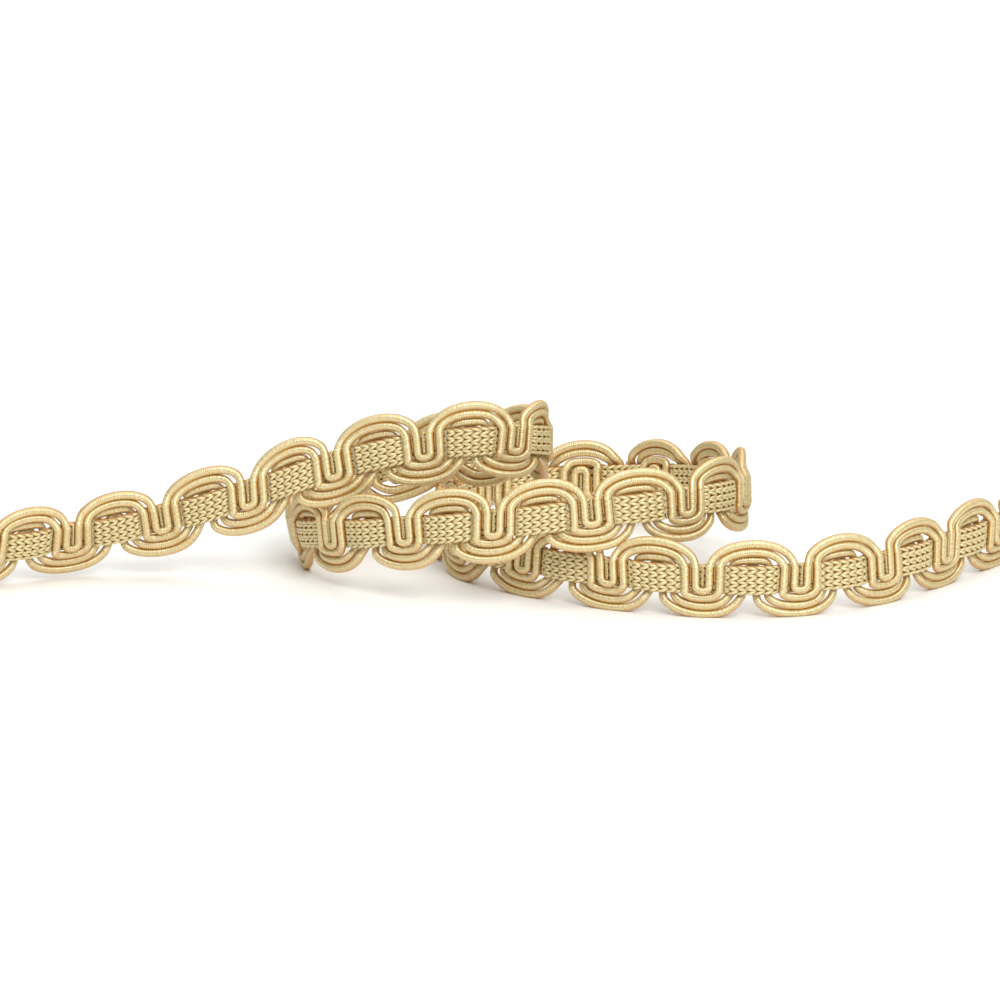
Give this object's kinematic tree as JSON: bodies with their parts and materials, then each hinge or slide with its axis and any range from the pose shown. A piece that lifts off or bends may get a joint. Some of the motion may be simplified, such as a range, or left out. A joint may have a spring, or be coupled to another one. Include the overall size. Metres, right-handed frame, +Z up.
{
  "type": "gimp braid trim, a cut length standing on edge in a loose rising coil",
  "caption": "Champagne gimp braid 15 mm wide: four satin-wrapped cords in a winding line on a flat chain-knitted band, a cut length coiled loosely on its edge.",
  "frame": {"origin": "middle of the coil's footprint, on the surface that it stands on", "axes": "+X along the coil's long side towards the right tail as seen from the front, +Y away from the front, +Z up"},
  "size_m": [0.2026, 0.0802, 0.0375],
  "materials": {
    "satin_wrap": "satin rayon thread wrapped round a cord",
    "knit_yarn": "soft satin yarn, chain knitted"
  },
  "bodies": {
    "root": {"gimp_cord_1": "satin_wrap", "gimp_cord_2": "satin_wrap", "gimp_cord_3": "satin_wrap", "gimp_cord_4": "satin_wrap", "knit_band": "knit_yarn"}
  },
  "joints": []
}
